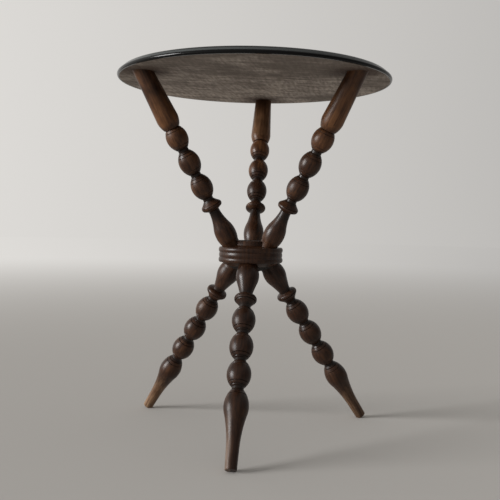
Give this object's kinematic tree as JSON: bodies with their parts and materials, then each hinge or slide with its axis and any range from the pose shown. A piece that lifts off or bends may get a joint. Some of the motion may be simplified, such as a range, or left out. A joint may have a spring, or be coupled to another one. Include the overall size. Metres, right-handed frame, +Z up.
{
  "type": "gypsy table",
  "caption": "Small round occasional table with an ebonised moulded edge, on two tripods of bobbin-turned legs joined by a turned boss.",
  "frame": {"origin": "on the floor, on the axis of the round top and of the boss", "axes": "+Z up along the axis of the table, with +X to the right and +Y away from a viewer in front"},
  "size_m": [0.4915, 0.4915, 0.647],
  "materials": {
    "top_wood": "polished dark brown above, ebonised edge, bare sawn wood below",
    "turned_wood": "stained dark brown, polished and worn"
  },
  "bodies": {
    "root": {"top_board": "top_wood", "boss": "turned_wood", "upper_leg_back": "turned_wood", "upper_leg_left": "turned_wood", "upper_leg_right": "turned_wood", "lower_leg_front": "turned_wood", "lower_leg_left": "turned_wood", "lower_leg_right": "turned_wood"}
  },
  "joints": []
}
